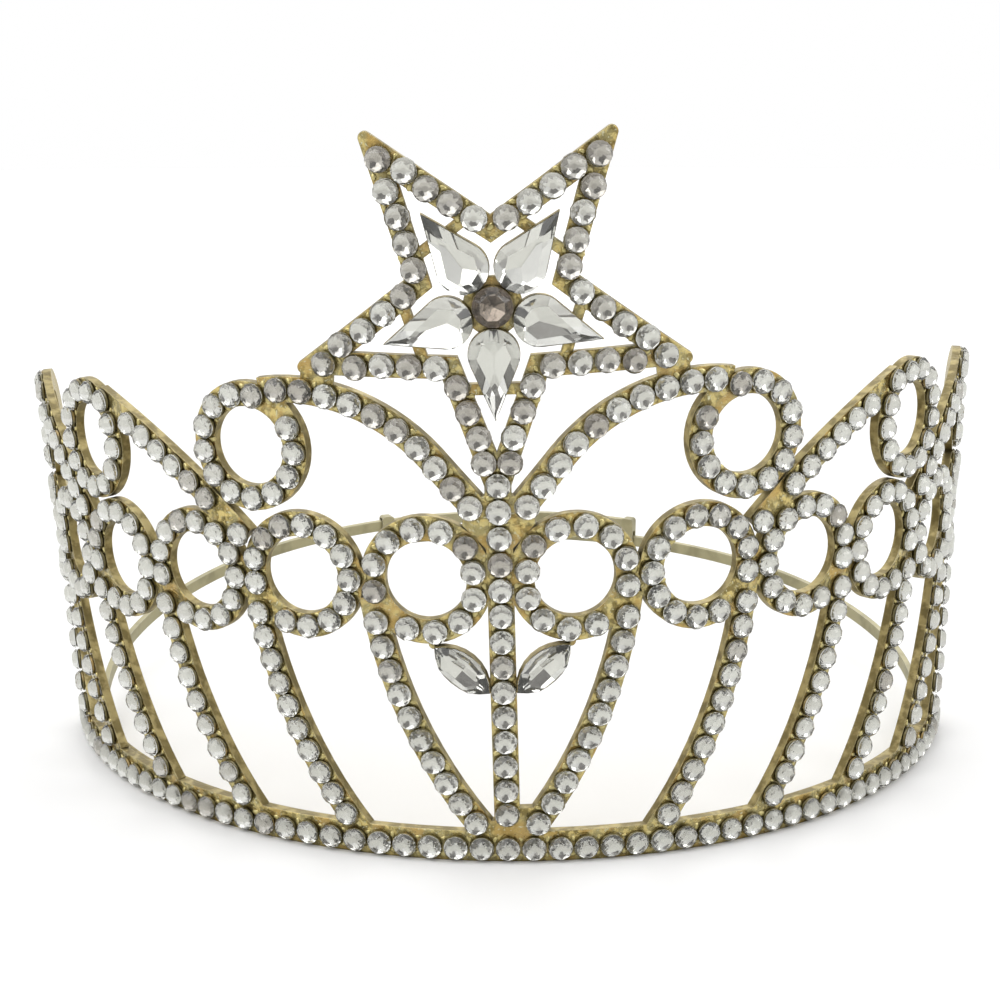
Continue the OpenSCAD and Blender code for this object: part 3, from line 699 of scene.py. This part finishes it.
def stone_tree():
    """Round flat-backed stones: table, star facets, kites and girdle facets over a foiled base."""
    tree, given, out = new_tree("Round Stones", "GeometryNodeTree", [
        ("Places", "Geometry", None), ("Width", "Float", STONE_WIDTH * MM),
        ("Rise", "Float", STONE_RISE * MM), ("Table Share", "Float", TABLE_SHARE),
        ("Shoulder Share", "Float", 0.79), ("Shoulder Rise", "Float", 0.62),
        ("Pavilion", "Float", STONE_PAVILION * MM),
        ("Girdle Rise", "Float", STONE_GIRDLE * MM), ("Culet Share", "Float", CULET_SHARE),
        ("Lift", "Float", STONE_BED * MM), ("Tilt", "Float", 0.05), ("Foiled Below", "Float", -0.5),
        ("Seed", "Int", FIELD_SEED), ("Glass", "Material", None), ("Foil", "Material", None)],
        [("Geometry", "Geometry")])
    radius = times(tree, given["Width"], 0.5)
    low = plus(tree, given["Lift"], given["Pavilion"])
    girdle = plus(tree, low, given["Girdle Rise"])
    top = plus(tree, given["Lift"], given["Rise"])
    shoulder = plus(tree, girdle, times(tree, minus(tree, top, girdle), given["Shoulder Rise"]))
    rings = ((times(tree, radius, given["Culet Share"]), given["Lift"], FACETS),
        (radius, low, GIRDLE_FACETS), (radius, girdle, GIRDLE_FACETS),
        (times(tree, radius, given["Shoulder Share"]), shoulder, FACETS, math.pi / FACETS),
        (times(tree, radius, given["Table Share"]), top, FACETS))
    join = tree.nodes.new("GeometryNodeJoinGeometry")
    for ring in rings:
        tree.links.new(ring_of_points(tree, *ring), join.inputs[0])
    hull = add_node(tree, "GeometryNodeConvexHull", "Facets", {"Geometry": join.outputs[0]}).outputs[0]
    glass = painted(tree, placed(tree, given, hull, given["Tilt"], least=0.985), "Glass", given["Glass"])
    normal = tree.nodes.new("GeometryNodeInputNormal").outputs[0]
    facing = vector_node(tree, "DOT_PRODUCT", "Facing", normal, stored(tree, "outward"))["Value"]
    sides = {0: facing, 1: given["Foiled Below"]}
    back = add_node(tree, "FunctionNodeCompare", "Is Back", sides, data_type="FLOAT", operation="LESS_THAN")
    tree.links.new(painted(tree, glass, "Foil", given["Foil"], back.outputs[0]), out["Geometry"])
    return tree


def set_glue(tree, given, out, glue, least):
    """Sets the glue on the places, smooth."""
    real = placed(tree, given, glue, GLUE_TILT, least)
    smooth = add_node(tree, "GeometryNodeSetShadeSmooth", "Smooth", {"Geometry": real}).outputs[0]
    tree.links.new(painted(tree, smooth, "Glue", given["Glue"]), out["Geometry"])
    return tree


def glue_tree():
    """A low bead of glue round each round stone."""
    tree, given, out = new_tree("Glue Beads", "GeometryNodeTree", [
        ("Places", "Geometry", None), ("Radius", "Float", 1.74 * MM), ("Bead", "Float", 0.28 * MM),
        ("Lift Share", "Float", 1.05), ("Seed", "Int", BEAD_SEED), ("Glue", "Material", None)],
        [("Geometry", "Geometry")])
    circle = "GeometryNodeCurvePrimitiveCircle"
    path = add_node(tree, circle, "Bead Path", {"Resolution": 12, "Radius": given["Radius"]}).outputs[0]
    section = add_node(tree, circle, "Bead Section", {"Resolution": 5, "Radius": given["Bead"]}).outputs[0]
    inputs = {"Curve": path, "Profile Curve": section}
    bead = add_node(tree, "GeometryNodeCurveToMesh", "Bead", inputs).outputs[0]
    lift = combined(tree, "Height", Z=times(tree, given["Bead"], given["Lift Share"]))
    inputs = {"Geometry": bead, "Translation": lift}
    raised = add_node(tree, "GeometryNodeTransform", "Lift", inputs).outputs[0]
    return set_glue(tree, given, out, raised, least=0.97)


def lump_tree():
    """Rounded lumps where the glue of two neighbouring stones has run together."""
    tree, given, out = new_tree("Glue Lumps", "GeometryNodeTree", [
        ("Places", "Geometry", None), ("Radius", "Float", 0.62 * MM), ("Length", "Float", 1.25),
        ("Breadth", "Float", 0.85), ("Flatness", "Float", 0.4), ("Seed", "Int", LUMP_SEED),
        ("Glue", "Material", None)], [("Geometry", "Geometry")])
    inputs = {"Radius": given["Radius"], "Subdivisions": 2}
    ball = add_node(tree, "GeometryNodeMeshIcoSphere", "Lump", inputs).outputs[0]
    shape = combined(tree, "Shape", X=given["Length"], Y=given["Breadth"], Z=given["Flatness"])
    lump = add_node(tree, "GeometryNodeTransform", "Flatten", {"Geometry": ball, "Scale": shape}).outputs[0]
    return set_glue(tree, given, out, lump, least=0.55)


def grown(name, places, tree, inputs, tones=None):
    """One plain mesh object of what the tree sets on the places."""
    mesh = bpy.data.meshes.new(name + "_places")
    mesh.from_pydata([p.translation for p in places], [], [])
    for key, column in (("outward", 2), ("along", 0)):
        values = np.array([p.col[column].xyz for p in places], np.float32)
        mesh.attributes.new(key, "FLOAT_VECTOR", "POINT").data.foreach_set("vector", values.ravel())
    if tones is not None:
        set_tones(mesh, tones)
    source = finished(name + "_source", mesh)
    modifier = source.modifiers.new("Set", "NODES")
    modifier.node_group = tree
    for item in tree.interface.items_tree:
        if item.in_out == "INPUT" and item.name in inputs:
            modifier[item.identifier] = inputs[item.name]
    evaluated = source.evaluated_get(bpy.context.evaluated_depsgraph_get())
    made = bpy.data.meshes.new_from_object(evaluated)
    made.name = name
    source.modifiers.remove(modifier)
    bpy.data.objects.remove(source)
    return finished(name, made)


def set_tones(mesh, tones):
    """The tone of the foil, stored point by point."""
    mesh.attributes.new("tone", "FLOAT", "POINT").data.foreach_set("value", np.array(tones, np.float32))


def finished(name, data):
    """An object of a mesh, light or camera, in the scene."""
    made = bpy.data.objects.new(name, data)
    bpy.context.scene.collection.objects.link(made)
    return made


def settled(piece, slot, *nodes):
    if nodes:
        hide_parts(*nodes)
    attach(piece, BODY)
    return piece


# Large stones.

def pear_outline():
    """Round end on the origin, point toward +X, millimetres."""
    start = math.acos(PEAR_RADIUS / PEAR_REACH)
    angles = [start + (math.tau - 2 * start) * k / PEAR_CORNERS for k in range(PEAR_CORNERS + 1)]
    return [Vector((PEAR_REACH, 0))] + [Vector((math.cos(a), math.sin(a))) * PEAR_RADIUS for a in angles]


def leaf_outline():
    """Points toward +X and -X, millimetres."""
    r = (LEAF_LENGTH**2 + LEAF_WIDTH**2) / (4 * LEAF_WIDTH)
    half = math.asin(LEAF_LENGTH / 2 / r)
    angles = [math.pi / 2 - half + 2 * half * k / LEAF_CORNERS for k in range(LEAF_CORNERS)]
    upper = [Vector((r * math.cos(a), r * math.sin(a) - r + LEAF_WIDTH / 2)) for a in angles]
    return upper + [-p for p in upper]


def centre_outline():
    angles = [math.tau * k / CENTRE_CORNERS for k in range(CENTRE_CORNERS)]
    return [Vector((math.cos(a), math.sin(a))) * CENTRE_RADIUS for a in angles]


def facet_planes(outline, angles, height, share, end, outward):
    """Planes through the outline's edge at a height, that reach the end height at a share of the way in."""
    for angle in angles:
        way = Vector((math.cos(math.radians(angle)), math.sin(math.radians(angle))))
        reach = max(p.dot(way) for p in outline)
        slope = math.atan2(abs(end - height), reach * (1 - share))
        point = way * reach
        normal = (way.x * math.sin(slope), way.y * math.sin(slope), outward * math.cos(slope))
        yield Vector((point.x, point.y, height)), Vector(normal)


def large_stone(name, place, outline, cut, node, tone, glass=glass_material):
    """A stone cut from a block of its outline, plane by plane: glass crown, foiled pavilion."""
    mesh = bmesh.new()
    base, top = ([mesh.verts.new((p.x, p.y, z)) for p in outline] for z in (cut["bottom"], cut["top"]))
    mesh.faces.new(list(reversed(base)))
    mesh.faces.new(top)
    for k in range(len(outline)):
        following = (k + 1) % len(outline)
        mesh.faces.new((base[k], base[following], top[following], top[k]))
    for row in cut["facets"]:
        for point, normal in facet_planes(outline, *row):
            parts = bmesh.ops.bisect_plane(mesh, geom=mesh.verts[:] + mesh.edges[:] + mesh.faces[:],
                dist=ON_PLANE, plane_co=point, plane_no=normal, clear_outer=True)
            loop = [e for e in parts["geom_cut"] if isinstance(e, bmesh.types.BMEdge)]
            if loop:
                bmesh.ops.contextual_create(mesh, geom=loop)
    bmesh.ops.recalc_face_normals(mesh, faces=mesh.faces)
    for face in mesh.faces:
        face.material_index = int(face.normal.z < FOILED_BELOW)
    bmesh.ops.transform(mesh, matrix=place @ Matrix.Scale(MM, 4), verts=mesh.verts)
    made = bpy.data.meshes.new(name)
    mesh.to_mesh(made)
    mesh.free()
    made.materials.append(material_of(glass))
    made.materials.append(material_of(foil_material))
    set_tones(made, [tone] * len(made.vertices))
    return settled(finished(name, made), "clear_stone", node)


# Settings of the add-on.

def colour(name, description, value):
    return bpy.props.FloatVectorProperty(name=name, description=description, subtype="COLOR", size=3,
        min=0, max=1, default=value)


def length(name, description, value):
    """A length, given here in millimetres."""
    return bpy.props.FloatProperty(name=name, description=description, default=value * MM, unit="LENGTH",
        precision=5)


def number(name, description, value, **limits):
    return bpy.props.FloatProperty(name=name, description=description, default=value, **limits)


class CrownLook(bpy.types.PropertyGroup):
    """Colours of the crown's finishes, with its painted shade and painted glints."""

    gilt: colour("Gilt", "Main olive gold of the metal", (0.86, 0.69, 0.27))
    gilt_shade: colour("Gilt shade", "Darker olive of the metal", (0.29, 0.225, 0.075))
    gilt_back: colour("Gilt of the back", "The metal where no glue has run", (0.72, 0.58, 0.25))
    gilt_back_shade: colour("Gilt shade of the back", "Duller patches there", (0.5, 0.4, 0.17))
    amber: colour("Amber", "Amber of old glue and solder", (0.62, 0.42, 0.13))
    rubbed: colour("Rubbed edge", "Pale gold of rubbed edges", (0.62, 0.54, 0.32))
    film: colour("Glue film", "Yellow olive where glue lies over the gilt", (0.72, 0.65, 0.3))
    # Painted glints: a pale colour that stands in for highlights in the glue.
    painted_glint: colour("Glints", "Pale glints in the glue", (0.8, 0.76, 0.5))
    painted_shade: colour("Shade", "Dark olive along the stones", (0.13, 0.105, 0.04))
    sawn: colour("Sawn edge", "Duller tan of the plate's sawn edges", (0.23, 0.185, 0.08))
    # Painted shade, mixed into the metal's colour along the stones where they stand close.
    sawn_light: colour("Sawn edge, light", "Lighter tan streaks of those edges", (0.46, 0.38, 0.18))
    pale_gilt: colour("Pale gilt", "Main colour of the back arms", (0.46, 0.42, 0.26))
    pale_gilt_shade: colour("Pale gilt shade", "Duller patches of the back arms", (0.34, 0.31, 0.19))
    pale_rubbed: colour("Pale rubbed edge", "Edges of the back arms", (0.6, 0.58, 0.48))
    glass: colour("Glass", "Tint of the stones", (0.965, 0.97, 0.935))
    glass_ior: number("Glass bending", "Index of refraction of the stones", 1.56, min=1.3, max=2.4)
    glass_clouded: colour("Clouded glass", "Tint of the dulled centre stone", (0.62, 0.56, 0.5))
    foil: colour("Foil", "Fresh silver foil", (0.93, 0.93, 0.92))
    # Darkened foil: partly aged foil, partly painted dark reflection in the stones.
    foil_aged_and_painted_dark: colour("Browned foil", "Foil that has aged", (0.5, 0.46, 0.42))
    glue: colour("Glue", "Olive of the beads of glue round the stones", (0.16, 0.135, 0.05))
    clear_glue: colour("Lumps of glue", "Yellow of the glossy lumps between stones", (0.7, 0.6, 0.25))
    floor: colour("Floor", "Plain pale floor", (0.9, 0.9, 0.9))
    floor_in_stones: colour("Floor in stones", "The floor as stones and metal mirror it", (0.63, 0.63, 0.6))
    floor_far: colour("Floor before the camera", "The dark end of that floor", (0.48, 0.475, 0.45))


class StoneSizes(bpy.types.PropertyGroup):
    """Sizes of the small round stones."""

    width: length("Width", "Diameter of a small stone", STONE_WIDTH)
    rise: length("Rise", "Height of a small stone", STONE_RISE)
    bed: length("Bed", "Thickness of the glue under a small stone", STONE_BED)
    girdle: length("Girdle rise", "Height of its straight edge", STONE_GIRDLE)
    pavilion: length("Pavilion", "Depth of its foiled back", STONE_PAVILION)
    culet: number("Culet share", "Share of the width flat at the back", CULET_SHARE, min=0.05, max=0.8)
    table: number("Table share", "Share of the width flat on top", TABLE_SHARE, min=0.2, max=0.8)
    tilt: number("Tilt", "Most that a stone is set askew", math.radians(3), subtype="ANGLE")
    gap: length("Gap", "Least distance between stones' middles", 3.86)


class StageSettings(bpy.types.PropertyGroup):
    """Floor, light and camera."""

    floor_radius: length("Floor radius", "Radius of the floor", 2500.0)
    key_power: number("Key light", "Power of the main soft light", 5.0, min=0.0)
    fill_power: number("Fill light", "Power of the side lights", 2.0, min=0.0)
    lens: number("Lens", "Focal length in millimetres on a 36 mm sensor", 64.76, min=10.0)


# Operators.

SET_PLACES = []


def set_stones(name, places, seed, dark, *nodes):
    """One row of round stones; dark is the share of darkened foils, partly aged and partly painted dark
    reflection.
    """
    sizes = bpy.context.scene.crown_stones
    rng = np.random.default_rng(seed)
    count = len(places)
    dark_foils = rng.random(count) < dark
    tones = np.where(dark_foils, rng.uniform(*DARK_FOIL_TONE, count), rng.uniform(*FRESH_TONE, count))
    inputs = {"Width": sizes.width, "Rise": sizes.rise, "Lift": sizes.bed, "Table Share": sizes.table,
        "Girdle Rise": sizes.girdle, "Pavilion": sizes.pavilion, "Culet Share": sizes.culet,
        "Tilt": sizes.tilt, "Seed": seed, "Glass": material_of(glass_material),
        "Foil": material_of(foil_material)}
    piece = grown(name, places, once(stone_tree), inputs, tones)
    SET_PLACES.extend(places)
    return settled(piece, "clear_stone", *nodes)


class CrownOperator:
    bl_options = {"REGISTER", "UNDO"}


class CROWN_OT_gild_metal(CrownOperator, bpy.types.Operator):
    """Gives the metal frame and the back arms their gilt"""

    bl_idname = "crown.gild_metal"
    bl_label = "Gild Metal"

    def execute(self, context):
        finishes = {"crown_frame": gilt_material, "back_arm_left": pale_gilt_material,
            "back_arm_right": pale_gilt_material}
        for node, finish in finishes.items():
            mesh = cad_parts[node].data
            mesh.materials.clear()
            mesh.materials.append(material_of(finish))
        return {"FINISHED"}


class CROWN_OT_set_large_stones(CrownOperator, bpy.types.Operator):
    """Sets the star's pears and centre stone and the two leaves"""

    bl_idname = "crown.set_large_stones"
    bl_label = "Set Large Stones"

    def execute(self, context):
        for k, name in enumerate(PEARS):
            angle = math.radians(-90 + 360 / len(PEARS) * k)
            spot = drawn((0, STAR_HEIGHT), PEAR_CIRCLE * math.cos(angle), PEAR_CIRCLE * math.sin(angle))
            place = wall_place(*spot, angle)
            large_stone("cut_pear_" + name, place, pear_outline(), PEAR_CUT, "pear_stone_" + name, PEAR_TONE)
        for side, name in zip(SIDES, ("left", "right")):
            angle = LEAF_TURN if side > 0 else math.pi - LEAF_TURN
            place = wall_place(side * LEAF_ASIDE, LEAF_HEIGHT, angle)
            large_stone("cut_leaf_" + name, place, leaf_outline(), LEAF_CUT, "leaf_stone_" + name, LEAF_TONE)
        place = wall_place(0, STAR_HEIGHT)
        large_stone("cut_centre_stone", place, centre_outline(), ROUND_CUT, "centre_stone", CENTRE_TONE,
            clouded_glass_material)
        return {"FINISHED"}


class CROWN_OT_set_field_stones(CrownOperator, bpy.types.Operator):
    """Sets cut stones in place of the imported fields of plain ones"""

    bl_idname = "crown.set_field_stones"
    bl_label = "Set Field Stones"

    def execute(self, context):
        for k, (field, dark) in enumerate(FIELDS):
            node = field + "_stones"
            set_stones("cut_" + node, field_places(node), FIELD_SEED + k, dark, node)
        return {"FINISHED"}


class CROWN_OT_set_side_stones(CrownOperator, bpy.types.Operator):
    """Sets the cut stones of the sides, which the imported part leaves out"""

    bl_idname = "crown.set_side_stones"
    bl_label = "Set Side Stones"

    def execute(self, context):
        gap = context.scene.crown_stones.gap / MM
        for k, (name, (row, numbers)) in enumerate(SIDE_ROWS.items()):
            places = [wall_place(*q) for side in SIDES for n in numbers for q in row(side, n)]
            set_stones(name, clear_of(places, SET_PLACES, gap), SIDE_SEED + k, SIDE_DARK_SHARE)
        return {"FINISHED"}


class CROWN_OT_run_glue(CrownOperator, bpy.types.Operator):
    """Runs a bead of aged glue round every small stone, and lumps of it between neighbours"""

    bl_idname = "crown.run_glue"
    bl_label = "Run Glue"

    def execute(self, context):
        if not SET_PLACES:
            raise RuntimeError("set the stones before the glue")
        inputs = {"Seed": BEAD_SEED, "Glue": material_of(glue_material)}
        settled(grown("stone_glue", SET_PLACES, once(glue_tree), inputs), "brass")
        inputs = {"Seed": LUMP_SEED, "Glue": material_of(clear_glue_material)}
        settled(grown("glue_lumps", beside_pairs(SET_PLACES), once(lump_tree), inputs), "brass")
        return {"FINISHED"}


class CROWN_OT_lay_stage(CrownOperator, bpy.types.Operator):
    """Lays the pale floor and places the soft lights and the camera"""

    bl_idname = "crown.lay_stage"
    bl_label = "Lay Stage"

    def execute(self, context):
        stage = context.scene.crown_stage
        disc = bmesh.new()
        bmesh.ops.create_circle(disc, cap_ends=True, segments=96, radius=stage.floor_radius)
        mesh = bpy.data.meshes.new("floor")
        disc.to_mesh(mesh)
        disc.free()
        mesh.materials.append(material_of(floor_material))
        finished("floor", mesh)
        for name, (place, size, power) in LIGHTS.items():
            soft_light(name, place, size, getattr(stage, power))
        studio_world(context.scene)
        camera = finished("camera", bpy.data.cameras.new("camera"))
        camera.data.lens = stage.lens
        camera.data.sensor_width = SENSOR_WIDTH
        camera.data.clip_start = NEAREST_SEEN
        camera.location = CAMERA_PLACE * MM
        camera.rotation_euler = CAMERA_WAY.to_track_quat("-Z", "Y").to_euler()
        context.scene.camera = camera
        context.scene.view_settings.view_transform = "Standard"
        return {"FINISHED"}


def soft_light(name, place, size, power):
    light = bpy.data.lights.new(name, "AREA")
    light.shape, light.size, light.energy = "DISK", size, power
    lamp = finished(name, light)
    lamp.location = place
    lamp.rotation_euler = (LIGHT_AIM - Vector(place)).to_track_quat("-Z", "Y").to_euler()


def studio_world(scene):
    """A pale studio, brightest at the left and overhead, greyer in front, with a dark photographer there."""
    world = bpy.data.worlds.new("pale_studio")
    world.use_nodes = True
    scene.world = world
    tree = world.node_tree
    back = tree.nodes["Background"].inputs
    direction = add_node(tree, "ShaderNodeTexCoord", "Direction").outputs["Generated"]
    way = add_node(tree, "ShaderNodeSeparateXYZ", "Way", {"Vector": direction}).outputs
    sides = ramp(tree, "Left To Right", way["X"], start=-0.5, end=0.5, low=0.98, high=0.82)
    front = ramp(tree, "Greyer Front", way["Y"], start=-0.45, end=-0.85, low=1.0, high=0.86)
    overhead = ramp(tree, "Overhead", way["Z"], start=0.35, end=0.75, low=0.0, high=1.05)
    bright = math_node(tree, "MAXIMUM", times(tree, sides, front), overhead)
    toward = vector_node(tree, "DOT_PRODUCT", "Toward Photographer", direction, PHOTOGRAPHER_WAY)["Value"]
    dim = ramp(tree, "Photographer", toward, start=0.86, end=0.95, low=1.0, high=0.2)
    seen = add_node(tree, "ShaderNodeLightPath", "Ray").outputs["Is Camera Ray"]
    strengths = {0: seen, 2: times(tree, bright, dim), 3: 1.0}
    light = add_node(tree, "ShaderNodeMix", "Seen Or Lit", strengths, data_type="FLOAT")
    tree.links.new(light.outputs[0], back["Strength"])
    tinted = times(tree, minus(tree, 1.0, dim), minus(tree, 1.0, seen))
    tree.links.new(mix_colour(tree, tinted, WHITE, PHOTOGRAPHER_TINT), back["Color"])


class CROWN_PT_panel(bpy.types.Panel):
    """Lists the crown's steps and settings"""

    bl_idname = "CROWN_PT_panel"
    bl_label = "Regalia Crown"
    bl_space_type = "VIEW_3D"
    bl_region_type = "UI"
    bl_category = "Crown"

    def draw(self, context):
        layout = self.layout
        for step in STEPS:
            layout.operator(step.bl_idname)
        for settings in (context.scene.crown_look, context.scene.crown_stones, context.scene.crown_stage):
            box = layout.box()
            for name in settings.__annotations__:
                box.prop(settings, name)


SETTINGS = {"crown_look": CrownLook, "crown_stones": StoneSizes, "crown_stage": StageSettings}
STEPS = (CROWN_OT_gild_metal, CROWN_OT_set_large_stones, CROWN_OT_set_field_stones, CROWN_OT_set_side_stones,
    CROWN_OT_run_glue, CROWN_OT_lay_stage)


def register():
    for cls in (*SETTINGS.values(), *STEPS, CROWN_PT_panel):
        bpy.utils.register_class(cls)
    for name, cls in SETTINGS.items():
        setattr(bpy.types.Scene, name, bpy.props.PointerProperty(type=cls))


def unregister():
    for name in SETTINGS:
        delattr(bpy.types.Scene, name)
    for cls in reversed((*SETTINGS.values(), *STEPS, CROWN_PT_panel)):
        bpy.utils.unregister_class(cls)


def main():
    register()
    for step in STEPS:
        group_name, action = step.bl_idname.split(".")
        getattr(getattr(bpy.ops, group_name), action)()


if __name__ == "__main__":
    main()
